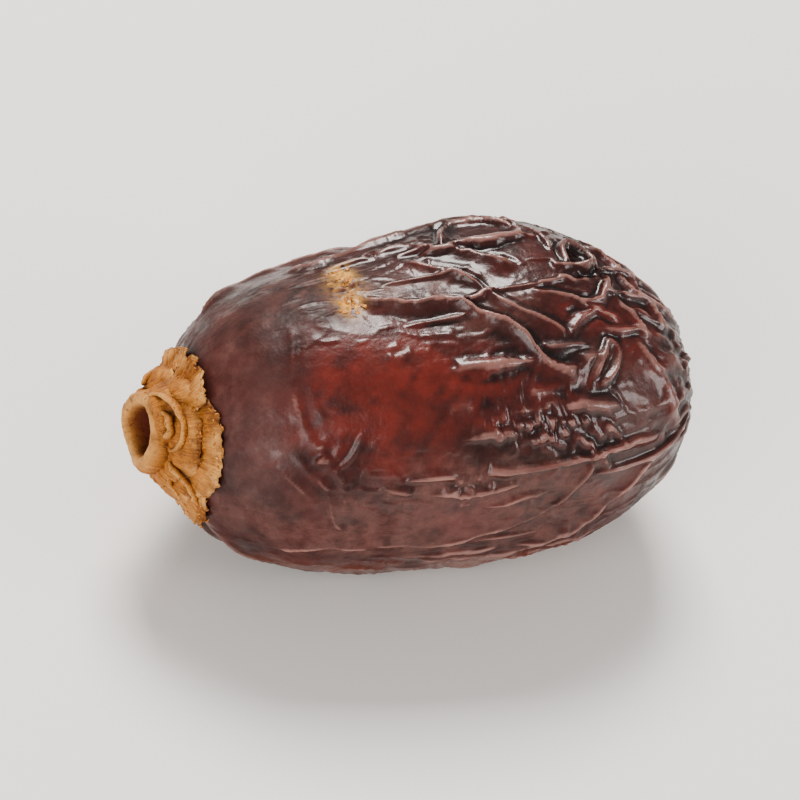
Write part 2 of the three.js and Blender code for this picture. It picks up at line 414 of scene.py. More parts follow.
def foldHeights(points, out):
    # how far the folds lift each point
    wander = np.stack([waves(points, 2.6 * mm, seed) for seed in (21, 22, 23)], 1) * 0.28 * mm
    wander += np.stack([waves(points, 0.9 * mm, seed) for seed in (24, 25, 26)], 1) * 0.07 * mm
    moved = points + wander
    uneven = 1 + 0.4 * waves(points, 1.6 * mm, 31)
    highest = np.zeros(len(points))
    for path, height, width, lean in folds + tipFolds(17, 5):
        line = np.array([pointAt(*place) for place in roundedPath(path)])
        way = np.gradient(line, axis=0)
        way /= np.linalg.norm(way, axis=1, keepdims=True) + 1e-12
        length = np.concatenate([[0], np.cumsum(np.linalg.norm(np.diff(line, axis=0), axis=1))])
        width = width * mm
        reach = np.abs(line - line.mean(0)).max() + 5 * width
        close = np.flatnonzero(np.abs(moved - line.mean(0)).max(1) < reach)
        gaps = np.linalg.norm(moved[close, None] - line[None], axis=2)
        nearest = gaps.argmin(1)
        off = moved[close] - line[nearest]
        side = np.cross(out[close], way[nearest])
        sideways = (off * side).sum(1)
        ahead = (off * way[nearest]).sum(1)
        beyond = np.abs(ahead) * ((nearest == 0) | (nearest == len(line) - 1))
        share = length[nearest]
        fade = smoothStep(0, 1, (np.minimum(share, length[-1] - share) + 0.25 * mm) / (1.3 * mm))
        # steep on the side it leans to, with a hollow at its foot, and drawn out on the other
        t = sideways / width + lean * 0.35
        towards = t * (1 if lean >= 0 else -1) > 0
        t = np.abs(t) * np.where(towards, 1 + abs(lean) * 0.8, 1 / (1 + abs(lean) * 1.5))
        t = np.sqrt(t ** 2 + 0.09) - 0.3
        crest = np.exp(-t ** 1.15 * 1.6)
        foot = -0.34 * np.exp(-(t - 1.8) ** 2 / 0.5) * np.where(towards, 1, 0.35)
        rise = (crest + foot) * fade * np.exp(-(beyond / width) ** 2) * height * mm * uneven[close]
        # where folds cross, the higher one shows, with a little of the other
        here = highest[close]
        over = np.maximum(rise - np.maximum(here, 0), 0)
        dip = rise * (here < 0.05 * mm)
        highest[close] = np.where(rise > 0, here + rise * 0.25 + 0.75 * over, here + dip)
    return highest


def spareSkin(points):
    place = placeOf(points)
    across = np.full(len(points), loose["across"])
    lengthwise = np.full(len(points), loose["along"])
    for along, around, reach, spread, moreAcross, moreAlong in loose["spots"]:
        mask = spotMask(place, along, around, reach, spread)
        across += mask * moreAcross
        lengthwise += mask * moreAlong
    grounded = smoothStep(0.8 * mm, 2.2 * mm, points[:, 2])
    grounded *= 1 - 0.85 * smoothStep(0.8, 0.95, place[0])
    uneven = 1 + 0.35 * waves(points, 5 * mm, 41)
    across = np.maximum(across * uneven, 0.002) * grounded
    return across, np.maximum(lengthwise * uneven, 0.001) * grounded


grains = [
    # patches of small warts: along, around, reach, spread, height in mm
    (0.08, 145, 0.09, 4.5, 0.17), (0.25, 148, 0.1, 5, 0.24), (0.41, 150, 0.07, 4, 0.17),
    (-0.06, 166, 0.07, 4.5, 0.28),
    (-0.6, 149, 0.04, 5, 0.14), (0.42, 203, 0.06, 5, 0.2), (0.28, 206, 0.05, 4, 0.16),
    (0.9, 140, 0.06, 30, 0.16),
    (0.1, 128, 0.1, 6, 0.06), (-0.28, 117, 0.05, 3, 0.1), (-0.37, 80, 0.05, 8, 0.2),
]


def fineHeights(points):
    # thin creases that wander over the skin, and small warts, in metres
    place = placeOf(points)
    stretched = points * (0.5, 1, 1)
    creases = np.clip(1 - np.abs(waves(stretched, 1.2 * mm, 71, 30)) * 3.4, 0, 1) ** 1.4
    creases += 0.6 * np.clip(1 - np.abs(waves(stretched, 0.8 * mm, 72, 30)) * 3, 0, 1) ** 1.4
    share = 0.35 + 0.65 * smoothStep(-0.3, 0.5, waves(points, 4 * mm, 73))
    for along, around, reach, spread, calm in skin["calm"]:
        share *= 1 - calm * spotMask(place, along, around, reach, spread)
    warts = sum(spotMask(place, *spot[:4]) * spot[4] for spot in grains)
    warts = warts * np.maximum(waves(points, 0.42 * mm, 74, 30) + 0.15, 0) * 1.6
    return (creases * share * skin["creaseHeight"] + warts) * mm


class Sheet:
    # the skin as a sheet of links: what it may stretch to, and which way it lies
    def __init__(self, flesh, quads, table, across, along):
        self.flesh = flesh.astype(np.float32)
        self.out = normalsOf(flesh, quads).astype(np.float32)
        self.table = table
        link = self.flesh[table] - self.flesh[:, None]
        length = np.sqrt((link * link).sum(2))
        self.real = (length > 1e-9).astype(np.float32)
        length = np.maximum(length, 1e-9)
        girth = np.cross(np.float32([1, 0, 0]), self.out)
        girth /= np.linalg.norm(girth, axis=1, keepdims=True) + 1e-9
        acrossShare = ((link * girth[:, None]).sum(2) / length) ** 2
        acrossHere = 1 + (across[table] + across[:, None]) / 2
        alongHere = 1 + (along[table] + along[:, None]) / 2
        stretch = np.sqrt(acrossHere ** 2 * acrossShare + alongHere ** 2 * (1 - acrossShare))
        self.rest = (length * stretch).astype(np.float32)
        self.ringReal = self.real[:, :4, None]
        self.bendRest = self.bend(self.flesh)

    def bend(self, values):
        ring = (values[self.table[:, :4]] * self.ringReal).sum(1)
        return ring / self.ringReal.sum(1) - values

    def settle(self, points, how):
        points = points.astype(np.float32)
        last = points
        links = self.real.sum(1, keepdims=True)
        for _ in range(how["steps"]):
            points, last = points + (points - last) * 0.8, points
            link = points[self.table] - points[:, None]
            length = np.sqrt((link * link).sum(2))
            pull = self.real * (1 - self.rest / np.maximum(length, 1e-9))
            points = points + (link * pull[:, :, None]).sum(1) / links
            points = points - how["stiffness"] * self.bend(self.bend(points) - self.bendRest)
            off = points - self.flesh
            height = (off * self.out).sum(1, keepdims=True)
            slip = off - height * self.out
            lifted = height * (1 - how["draw"]) - how["suction"] * mm
            held = np.where(height < 0, height * how["give"], np.maximum(lifted, 0))
            points = self.flesh + self.out * held + slip * 0.998
        return points


# one for each fineness of the grid. draw and suction pull the skin down, give is how far it may
# press into the flesh, jitter and hump are the first unevenness in mm
settling = [
    {"steps": 90, "stiffness": 0.05, "draw": 0.0, "suction": 0.002, "give": 0.0,
     "jitter": 0.12, "hump": 3.0, "spare": 0.6},
    {"steps": 110, "stiffness": 0.06, "draw": 0.0005, "suction": 0.0006, "give": 0.8,
     "jitter": 0.05, "hump": 1.3, "spare": 1.0},
    {"steps": 40, "stiffness": 0.04, "draw": 0.0, "suction": 0.0002, "give": 0.95,
     "jitter": 0.02, "hump": 0.6, "spare": 1.08},
]


def shrinkSkin():
    cube, quads = boxGrid(skin["grid"])
    flesh = skinOnFlesh(cube)
    points = None
    for level in range(skin["finenings"] + 1):
        if level:
            quads, (flesh, points) = finer(quads, flesh, points)
        table = neighbours(quads, len(flesh))
        radius = np.linalg.norm(flesh[:, 1:] - midline(-1.0)[1:], axis=1)
        mend = ((flesh[:, 0] < fleshMid.x) & (radius < skin["stemMend"] * mm))[:, None]
        for _ in range(14 * 4 ** level if level < 2 else 0):
            flesh = np.where(mend, ringMean(flesh, table), flesh)
        for _ in range(level + 1):
            flesh = (flesh + ringMean(flesh, table)) / 2
        if level == 0:
            place = placeOf(flesh)
            swell = sum(spotMask(place, *spot[:4]) * spot[4] for spot in swellings)
            flesh = flesh + normalsOf(flesh, quads) * (swell * mm)[:, None]
        if level == skin["finenings"]:
            # the folds go in once the grid is fine enough for them
            raised = foldHeights(flesh, normalsOf(flesh, quads))
            raised = (raised + ringMean(raised, table)) / 2 + fineHeights(flesh)
            raised *= smoothStep(0.5 * mm, 1.6 * mm, flesh[:, 2])
            lift = normalsOf(flesh, quads) * raised[:, None]
            flesh = flesh + lift
            points = points + lift
        flesh[:, 2] = np.maximum(flesh[:, 2], 0)
        how = settling[level]
        across, along = spareSkin(flesh)
        sheet = Sheet(flesh, quads, table, across * how["spare"], along * how["spare"])
        points = flesh if points is None else points
        humps = waves(flesh * (0.45, 1, 1), how["hump"] * mm, 60 + level, 40)
        shake = np.maximum(humps, 0) ** 2 * how["jitter"] * mm * smoothStep(0.003, 0.05, across)
        points = points + sheet.out * shake[:, None]
        points = sheet.settle(points, how)
        points[:, 2] = np.maximum(points[:, 2], 0)
        report(f"skin settled on {len(flesh)} points")
    points = points.astype(float)
    curl = -(sheet.bend(points) * normalsOf(points, quads)).sum(1)
    return points, quads, table, curl


def makeMesh(name, points, quads, floats=None):
    mesh = bpy.data.meshes.new(name)
    mesh.from_pydata([tuple(p) for p in points.tolist()], [], [tuple(q) for q in quads.tolist()])
    for key, values in (floats or {}).items():
        layer = mesh.attributes.new(key, "FLOAT", "POINT")
        layer.data.foreach_set("value", np.asarray(values, np.float32))
    mesh.polygons.foreach_set("use_smooth", [True] * len(mesh.polygons))
    mesh.update()
    piece = bpy.data.objects.new(name, mesh)
    bpy.context.scene.collection.objects.link(piece)
    return piece


points, quads, table, curl = shrinkSkin()


# Tints of the skin, as soft masks over it

tints = {
    # along, around, reach, spread, strength
    "clear": [
        (-0.44, 128, 0.17, 20, 0.95), (-0.2, 124, 0.24, 14, 0.75), (-0.3, 150, 0.2, 9, 0.6),
        (0.0, 138, 0.16, 10, 0.5),
        (0.3, 136, 0.2, 8, 0.4), (0.66, 118, 0.16, 14, 0.55), (0.4, 108, 0.14, 7, 0.45),
        (0.35, 160, 0.3, 9, 0.4),
        (-0.68, 145, 0.14, 16, 0.5), (-0.05, 180, 0.3, 8, 0.3), (0.8, 150, 0.12, 25, 0.4),
        (0.2, 88, 0.2, 6, 0.3),
        (-0.1, 212, 0.6, 9, 0.6), (0.2, 20, 0.3, 15, 0.6), (-0.4, 330, 0.3, 18, 0.6),
        (0.5, 300, 0.3, 20, 0.4),
    ],
    # dry grey bloom on the dull facets, and painted sheen and highlights on the upper facets, the lower
    # middle and the clear patch
    "bloomAndSheen": [
        (-0.88, 125, 0.18, 60, 0.5), (-0.2, 90, 0.22, 9, 0.8), (0.1, 110, 0.14, 5, 0.7),
        (-0.55, 185, 0.35, 14, 0.8),
        (-0.08, 168, 0.34, 13, 1.6), (0.4, 178, 0.3, 14, 0.9), (-0.1, 190, 0.5, 10, 0.6),
        (0.62, 146, 0.12, 14, 0.5), (0.5, 128, 0.05, 5, 0.8),
        (-0.5, 75, 0.22, 18, 0.6), (0.25, 102, 0.12, 5, 0.4), (0.3, 350, 0.4, 30, 0.5),
        (-0.5, 20, 0.3, 30, 0.5),
        (-0.28, 116, 0.07, 3, 0.7),
    ],
    "dull": [
        (-0.9, 120, 0.32, 90, 1.0), (-0.5, 190, 0.3, 18, 0.8), (-0.55, 80, 0.2, 20, 0.7),
        (-0.6, 280, 0.5, 40, 0.7),
        (0.6, 200, 0.3, 20, 0.5), (0.7, 340, 0.3, 30, 0.5),
    ],
    "flake": [
        (-0.37, 83, 0.05, 8, 1.1), (-0.35, 72, 0.04, 6, 0.9), (-0.39, 94, 0.035, 5, 0.9),
        (-0.3, 22, 0.05, 6, 0.5),
    ],
}


def tintMask(points, place, name, seed):
    mask = sum(spotMask(place, *spot[:4]) * spot[4] for spot in tints[name])
    uneven = 1 + 0.45 * waves(points, 1.4 * mm, seed) + 0.3 * waves(points, 0.5 * mm, seed + 1)
    return np.clip(mask * uneven, 0, 1)


def skinMasks(points, curl):
    place = placeOf(points)
    soft = curl
    for _ in range(5):
        soft = (soft + ringMean(soft, table)) / 2
    level = points
    for _ in range(36):
        level = ringMean(level, table)
    relief = ((points - level) * normalsOf(points, quads)).sum(1) / mm
    masks = {name: tintMask(points, place, name, 50 + 3 * n) for n, name in enumerate(tints)}
    masks["crest"] = np.clip(soft / (skin["crestCurl"] * mm), -1, 1)
    masks["ridge"] = smoothStep(0.03, 0.22, relief)
    # painted shade: where the skin lies below its smoothed level, for darkening the valleys
    masks["valleyShade"] = smoothStep(0.02, 0.17, -relief)
    # painted light: the lower part of the date, near the table, is tinted a warm orange-brown
    masks["under"] = smoothStep(7.5 * mm, 2.5 * mm, points[:, 2])
    return masks


masks = skinMasks(points, curl)
dateSkin = makeMesh("dateSkin", points, quads, masks)
report("date skin")


# Node helpers

def addNode(tree, kind, **settings):
    node = tree.nodes.new(kind)
    for key, value in settings.items():
        setattr(node, key, value)
    return node


def plug(tree, socket, value):
    if isinstance(value, bpy.types.NodeSocket):
        tree.links.new(value, socket)
    else:
        socket.default_value = value


def maths(tree, operation, a, b=None, c=None, clamp=False):
    node = addNode(tree, "ShaderNodeMath", operation=operation, use_clamp=clamp)
    for socket, value in zip(node.inputs, (a, b, c)):
        if value is not None:
            plug(tree, socket, value)
    return node.outputs[0]


def mixColour(tree, share, a, b):
    node = addNode(tree, "ShaderNodeMix", data_type="RGBA")
    plug(tree, node.inputs[0], share)
    plug(tree, node.inputs[6], a)
    plug(tree, node.inputs[7], b)
    return node.outputs[2]


def attribute(tree, name):
    return addNode(tree, "ShaderNodeAttribute", attribute_name=name).outputs["Fac"]


def remap(tree, value, low, high, toLow=0.0, toHigh=1.0):
    node = addNode(tree, "ShaderNodeMapRange")
    for socket, number in zip(node.inputs, (value, low, high, toLow, toHigh)):
        plug(tree, socket, number)
    return node.outputs[0]


def noise(tree, where, scale, detail=3.0, roughness=0.55):
    node = addNode(tree, "ShaderNodeTexNoise")
    plug(tree, node.inputs["Vector"], where)
    for key, number in {"Scale": scale, "Detail": detail, "Roughness": roughness}.items():
        node.inputs[key].default_value = number
    return node.outputs["Fac"]


def roughen(tree, shader, height, strength, distance):
    bump = addNode(tree, "ShaderNodeBump")
    bump.inputs["Strength"].default_value = strength
    bump.inputs["Distance"].default_value = distance
    plug(tree, bump.inputs["Height"], height)
    plug(tree, shader.inputs["Normal"], bump.outputs["Normal"])


def newPaint(name):
    paint = bpy.data.materials.new(name)
    paint.use_nodes = True
    tree = paint.node_tree
    return paint, tree, tree.nodes["Principled BSDF"]


def blotchGroup():
    # uneven colour and grain of dry plant matter, the same on the skin and the cap
    group = bpy.data.node_groups.new("blotches and grain", "ShaderNodeTree")
    group.interface.new_socket("Place", in_out="INPUT", socket_type="NodeSocketVector")
    blotchSize = group.interface.new_socket("Blotch Scale", in_out="INPUT", socket_type="NodeSocketFloat")
    grainSize = group.interface.new_socket("Grain Scale", in_out="INPUT", socket_type="NodeSocketFloat")
    blotchSize.default_value = 400
    grainSize.default_value = 3000
    group.interface.new_socket("Blotches", in_out="OUTPUT", socket_type="NodeSocketFloat")
    group.interface.new_socket("Grain", in_out="OUTPUT", socket_type="NodeSocketFloat")
    group.interface.new_socket("Pits", in_out="OUTPUT", socket_type="NodeSocketFloat")
    entry = group.nodes.new("NodeGroupInput")
    leave = group.nodes.new("NodeGroupOutput")
    blotches = addNode(group, "ShaderNodeTexNoise")
    grain = addNode(group, "ShaderNodeTexNoise")
    pits = addNode(group, "ShaderNodeTexVoronoi")
    settings = ((blotches, "Blotch Scale", 5), (grain, "Grain Scale", 4), (pits, "Grain Scale", 1))
    for node, size, detail in settings:
        group.links.new(entry.outputs["Place"], node.inputs["Vector"])
        group.links.new(entry.outputs[size], node.inputs["Scale"])
        node.inputs["Detail"].default_value = detail
    group.links.new(remap(group, blotches.outputs["Fac"], 0.3, 0.7), leave.inputs["Blotches"])
    group.links.new(grain.outputs["Fac"], leave.inputs["Grain"])
    group.links.new(pits.outputs["Distance"], leave.inputs["Pits"])
    return group


blotching = blotchGroup()


def placeBlotches(tree, where, blotchScale, grainScale):
    node = addNode(tree, "ShaderNodeGroup", node_tree=blotching)
    plug(tree, node.inputs["Place"], where)
    node.inputs["Blotch Scale"].default_value = blotchScale
    node.inputs["Grain Scale"].default_value = grainScale
    return node.outputs


skinColours = {
    "dark": (0.011, 0.0024, 0.0024, 1),
    "burgundy": (0.062, 0.0115, 0.0095, 1),
    "clear": (0.170, 0.022, 0.014, 1),
    "ridge": (0.12, 0.036, 0.028, 1),
    "crest": (0.44, 0.245, 0.21, 1),
    "valleyShade": (0.006, 0.0018, 0.0018, 1),
    "bloomAndSheen": (0.18, 0.078, 0.064, 1),
    "flake": (0.66, 0.36, 0.09, 1),
    "under": (0.19, 0.046, 0.013, 1),
}

skinFinish = {
    "Specular IOR Level": 0.38,
    "Coat Roughness": 0.13,
    "Subsurface Weight": 0.06,
    "Subsurface Radius": (1.0, 0.25, 0.12),
    "Subsurface Scale": 0.0012,
}


def skinPaint(c):
    paint, tree, shader = newPaint("date skin")
    where = addNode(tree, "ShaderNodeTexCoord").outputs["Object"]
    fine = placeBlotches(tree, where, 420, 3400)
    broad = remap(tree, noise(tree, where, 130, 4, 0.6), 0.38, 0.62)
    share = remap(tree, maths(tree, "ADD", fine["Blotches"], broad), 0.3, 1.7)
    base = mixColour(tree, share, c["dark"], c["burgundy"])
    # the flesh shows red where the skin is thin and tight
    thin = remap(tree, fine["Blotches"], 0, 1, 0.45, 1.0)
    clear = maths(tree, "MULTIPLY", attribute(tree, "clear"), thin, clamp=True)
    base = mixColour(tree, clear, base, c["clear"])
    # painted light: warm orange-brown glow on the lower part of the date
    under = maths(tree, "MULTIPLY", attribute(tree, "under"), remap(tree, broad, 0, 1, 0.1, 0.8))
    base = mixColour(tree, under, base, c["under"])
    # dry ridges are browner, with a thin pale crest that is partly a painted highlight; the valleys and
    # concave creases are painted shade, nearly black
    crest = attribute(tree, "crest")
    patchy = remap(tree, fine["Blotches"], 0, 1, 0.05, 0.4)
    dry = maths(tree, "MULTIPLY", attribute(tree, "ridge"), patchy)
    base = mixColour(tree, dry, base, c["ridge"])
    base = mixColour(tree, maths(tree, "MULTIPLY", attribute(tree, "valleyShade"), 0.88), base, c["valleyShade"])
    base = mixColour(tree, remap(tree, crest, -0.2, -1, 0, 0.75), base, c["valleyShade"])
    # a thin grey bloom on the dull facets, and painted sheen: the pale reflections on the upper facets,
    # the lower middle and the clear patch are painted with the same grey
    powderAndSheen = remap(tree, noise(tree, where, 900, 6, 0.7), 0.35, 0.7, 0.15, 0.85)
    dustAndSheen = maths(tree, "MULTIPLY", attribute(tree, "bloomAndSheen"), powderAndSheen)
    base = mixColour(tree, dustAndSheen, base, c["bloomAndSheen"])
    # the pale crest along the ridges: dry thin skin, and a painted highlight
    wearAndHighlight = maths(tree, "MULTIPLY", remap(tree, crest, 0.5, 1), remap(tree, broad, 0, 1, 0.2, 0.62))
    base = mixColour(tree, wearAndHighlight, base, c["crest"])
    scales = remap(tree, noise(tree, where, 1500, 4, 0.6), 0.38, 0.5)
    flake = maths(tree, "MULTIPLY", attribute(tree, "flake"), scales, clamp=True)
    base = mixColour(tree, flake, base, c["flake"])
    plug(tree, shader.inputs["Base Color"], base)
    dull = maths(tree, "MULTIPLY", attribute(tree, "dull"), 0.9)
    dull = maths(tree, "MAXIMUM", maths(tree, "MULTIPLY", dustAndSheen, 0.6), dull)
    rough = remap(tree, fine["Grain"], 0.3, 0.7, 0.27, 0.42)
    rough = maths(tree, "ADD", rough, maths(tree, "MULTIPLY", dull, 0.26))
    rough = maths(tree, "ADD", rough, maths(tree, "MULTIPLY", flake, 0.4), clamp=True)
    plug(tree, shader.inputs["Roughness"], rough)
    plug(tree, shader.inputs["Coat Weight"], remap(tree, dull, 0.0, 0.45, 0.42, 0.0))
    for name, value in skinFinish.items():
        shader.inputs[name].default_value = value
    pits = maths(tree, "MULTIPLY", fine["Pits"], 0.25)
    height = maths(tree, "ADD", maths(tree, "MULTIPLY", fine["Grain"], 0.6), pits)
    height = maths(tree, "ADD", height, maths(tree, "MULTIPLY", noise(tree, where, 1300, 3, 0.5), 1.2))
    roughen(tree, shader, height, 0.55, 0.06 * mm)
    return paint


dateSkin.data.materials.append(skinPaint(skinColours))


# The cap: dry petals around a round scar, laid on the skin

cap = {
    "lift": 0.16,  # radians it faces upwards
    "thickness": 0.3, "edgeThickness": 0.13,  # mm
    "rows": 26, "columns": 56,
}

# Petals of the lowest ring, the next and the innermost. turn is the place around in degrees,
# spread the half width in degrees; inner, outer and height are in mm.
petals = [
    {"turn": 97, "spread": 22, "inner": 1.6, "outer": 6.1, "height": 0.35, "square": 9, "curl": 0.5},
    {"turn": 148, "spread": 40, "inner": 1.6, "outer": 6.85, "height": 0.25, "square": 3, "curl": 0.1},
    {"turn": 218, "spread": 44, "inner": 1.6, "outer": 6.5, "height": 0.3, "square": 3, "curl": 0.15},
    {"turn": 300, "spread": 44, "inner": 1.6, "outer": 5.9, "height": 0.25, "square": 3, "curl": 0.2},
    {"turn": 15, "spread": 46, "inner": 1.6, "outer": 5.8, "height": 0.3, "square": 3, "curl": 0.1},
    {"turn": 62, "spread": 26, "inner": 1.6, "outer": 5.7, "height": 0.28, "square": 3, "curl": 0.3},
    {"turn": 128, "spread": 62, "inner": 1.5, "outer": 5.4, "height": 1.2, "square": 3, "curl": -0.35},
    {"turn": 245, "spread": 66, "inner": 1.5, "outer": 5.3, "height": 1.15, "square": 3, "curl": -0.3},
    {"turn": 5, "spread": 66, "inner": 1.5, "outer": 4.9, "height": 1.1, "square": 3, "curl": -0.3},
    {"turn": 100, "spread": 58, "inner": 1.9, "outer": 3.95, "height": 2.1, "square": 3, "curl": -0.75},
    {"turn": 215, "spread": 58, "inner": 1.9, "outer": 4.1, "height": 1.9, "square": 3, "curl": -0.7},
    {"turn": 335, "spread": 56, "inner": 1.9, "outer": 3.9, "height": 1.9, "square": 3, "curl": -0.7},
]

stemPole = midline(-1.0)
capOut = np.array([-math.cos(cap["lift"]), 0, math.sin(cap["lift"])])
capUp = np.array([math.sin(cap["lift"]), 0, math.cos(cap["lift"])])
capSide = np.array([0, 1.0, 0])
skinTree = BVHTree.FromPolygons([Vector(p) for p in points], quads.tolist())


def onSkin(radius, turn):
    # the skin below a place on the cap, and which way is out of it; radius in mm
    across = capSide * math.cos(turn) + capUp * math.sin(turn)
    start = stemPole + across * radius * mm + capOut * 6 * mm
    hit = skinTree.ray_cast(Vector(start), Vector(-capOut))[0]
    lean = min(1, radius / 8.5) ** 1.6
    out = capOut * (1 - lean) + across * lean
    return np.array(hit), out / np.linalg.norm(out)


def closedSheet(top, bottom):
    # two sides of a thin sheet, each rows x columns, joined around the edge
    rows, columns = top.shape[:2]
    index = np.arange(rows * columns).reshape(rows, columns)
    sheet = np.stack([index[:-1, :-1], index[1:, :-1], index[1:, 1:], index[:-1, 1:]], 2).reshape(-1, 4)
    rim = np.concatenate([index[0, :-1], index[:-1, -1], index[-1, :0:-1], index[:0:-1, 0]])
    back = rows * columns
    wall = np.stack([rim, np.roll(rim, -1), np.roll(rim, -1) + back, rim + back], 1)
    places = np.concatenate([top.reshape(-1, 3), bottom.reshape(-1, 3)])
    return places, np.concatenate([sheet, sheet[:, ::-1] + back, wall])


def petalSheet(p, seed):
    random = np.random.default_rng(seed)
    rows, columns = cap["rows"], cap["columns"]
    u = np.linspace(-1, 1, columns)
    v = np.linspace(0, 1, rows)
    phases = random.uniform(0, 6.28, 8)
    notches = zip(phases, (5, 9, 14, 23, 37))
    ragged = sum(math.cos(phase) * np.cos(u * count + phase) for phase, count in notches) * 0.09
    ragged += random.normal(0, 0.05, columns)
    reach = p["outer"] * (1 - 0.2 * np.abs(u) ** p["square"]) + ragged * (0.6 + 0.4 * np.abs(u))
    top = np.empty((rows, columns, 3))
    bottom = np.empty((rows, columns, 3))
    near = np.empty((rows, columns))
    for i in range(rows):
        for j in range(columns):
            radius = p["inner"] + (reach[j] - p["inner"]) * v[i]
            sway = 1 + 0.05 * math.sin(v[i] * 5 + phases[5])
            turn = math.radians(p["turn"] + p["spread"] * u[j] * sway)
            hit, out = onSkin(radius, turn)
            # folds that run outwards, a spiral overlap, and an edge that curls
            fold = math.cos(u[j] * 5.3 + phases[0] + 0.8 * v[i]) * 0.13
            fold += math.cos(u[j] * 11 + phases[1]) * 0.07
            fold += math.cos(u[j] * 31 + phases[2] + v[i]) * 0.035
            fold += math.cos(u[j] * 57 + phases[3] - v[i]) * 0.02
            slope = p["height"] * (1 - 0.55 * v[i] ** 1.5) + 0.22 * (u[j] + 1) / 2
            crown = 0.35 * math.sin(math.pi * v[i] ** 0.8) * (1 - u[j] ** 2) * min(1, p["height"])
            tilt = p["curl"] * v[i] ** 4
            ripple = 0.03 * math.sin(v[i] * 21 + phases[4])
            height = max(0.16, slope + crown + tilt + fold * (0.25 + v[i]) + ripple)
            thinning = (cap["edgeThickness"] - cap["thickness"]) * max(v[i], abs(u[j])) ** 2
            thick = cap["thickness"] + thinning
            top[i, j] = hit + out * height * mm
            bottom[i, j] = hit + out * max(-0.05, height - thick) * mm
            near[i, j] = max(v[i] ** 5, abs(u[j]) ** 14)
    places, faces = closedSheet(top, bottom)
    turns = np.tile(u * p["spread"] / 57.3, (rows, 1)).ravel() + seed
    values = {
        "edge": np.concatenate([near.ravel(), np.maximum(near.ravel(), 0.45)]),
        "fibre": np.concatenate([turns, turns]),
        "outward": np.tile(np.repeat(v, columns), 2),
        "lipHighlight": np.zeros(2 * rows * columns),
        "hollow": np.zeros(2 * rows * columns),
    }
    return places, faces, values


# The round scar in the middle: radius and height above the pole in mm, cream share (painted highlight
# along the rim), dark share (painted shade down in the hollow and at the foot of the outer wall)
scar = [
    (0.0, 0.75, 0.0, 1.0), (0.4, 0.95, 0.15, 0.8), (0.7, 0.75, 0.0, 1.0), (1.1, 0.6, 0.0, 1.0),
    (1.5, 1.0, 0.0, 1.0),
    (1.7, 1.6, 0.0, 0.85), (1.8, 2.1, 0.4, 0.4), (2.0, 2.5, 1.0, 0.0), (2.35, 2.68, 1.0, 0.0),
    (2.75, 2.5, 0.7, 0.0),
    (3.02, 2.1, 0.2, 0.0), (3.12, 1.6, 0.0, 0.1), (3.08, 1.0, 0.0, 0.4), (3.05, 0.2, 0.0, 0.5),
]


def scarRing(seed):
    sides = 96
    path = roundedPath(scar, 2)
    rows = len(path)
    turn = np.arange(sides) / sides * 2 * math.pi
    places = np.empty((rows, sides, 3))
    for i, (radius, height, _, _) in enumerate(path):
        oval = 1 + 0.05 * np.cos(2 * turn + 0.7) + 0.035 * np.cos(3 * turn + 2)
        oval += 0.012 * np.cos(13 * turn + 1)
        oval += 0.01 * np.cos(29 * turn + 0.4 * i) * min(1, radius / 2)
        wave = 0.16 * np.cos(2 * turn - 0.6) + 0.07 * np.cos(3 * turn + 1)
        dip = height + wave * min(1, radius / 1.6)
        dip += 0.03 * np.cos(11 * turn + radius) * smoothStep(2.2, 3, radius)
        across = capSide * np.cos(turn)[:, None] + capUp * np.sin(turn)[:, None]
        lean = across * (radius * oval)[:, None] + capOut * dip[:, None] - capUp * 0.1 + capSide * 0.1
        places[i] = stemPole + lean * mm
    index = np.arange(rows * sides).reshape(rows, sides)
    after = np.roll(index, -1, 1)
    faces = np.stack([index[:-1], index[1:], after[1:], after[:-1]], 2).reshape(-1, 4)
    values = {
        "edge": np.zeros(rows * sides),
        "fibre": np.tile(turn * 1.5, rows),
        "outward": np.repeat(path[:, 0] / 3, sides),
        "lipHighlight": np.repeat(path[:, 2], sides),
        "hollow": np.repeat(path[:, 3], sides),
    }
    return places.reshape(-1, 3), faces, values


# Petal edges rolled into cords beside the ring: place as radius, turn and height, in mm and
# degrees, and how thick the cord is in mm
rolls = [
    ([(2.6, 78, 2.3), (3.3, 92, 2.3), (4.1, 110, 1.9), (4.5, 132, 1.4), (4.0, 150, 1.5),
      (3.2, 158, 1.8)], 0.22),
    ([(3.1, 112, 2.1), (3.6, 124, 1.9), (3.5, 138, 1.9), (3.0, 142, 2.0)], 0.27),
    ([(3.2, 172, 1.9), (4.2, 178, 1.3), (5.2, 190, 0.7), (5.9, 204, 0.35)], 0.22),
    ([(3.2, 196, 1.8), (4.1, 206, 1.2), (5.2, 216, 0.6), (5.9, 224, 0.3)], 0.2),
    ([(3.1, 246, 1.7), (4.2, 252, 1.1), (5.3, 262, 0.5)], 0.22),
    ([(3.1, 300, 1.7), (4.2, 310, 1.1), (5.0, 316, 0.6)], 0.22),
    ([(3.0, 30, 1.9), (4.1, 22, 1.3), (4.9, 14, 0.7)], 0.22),
]


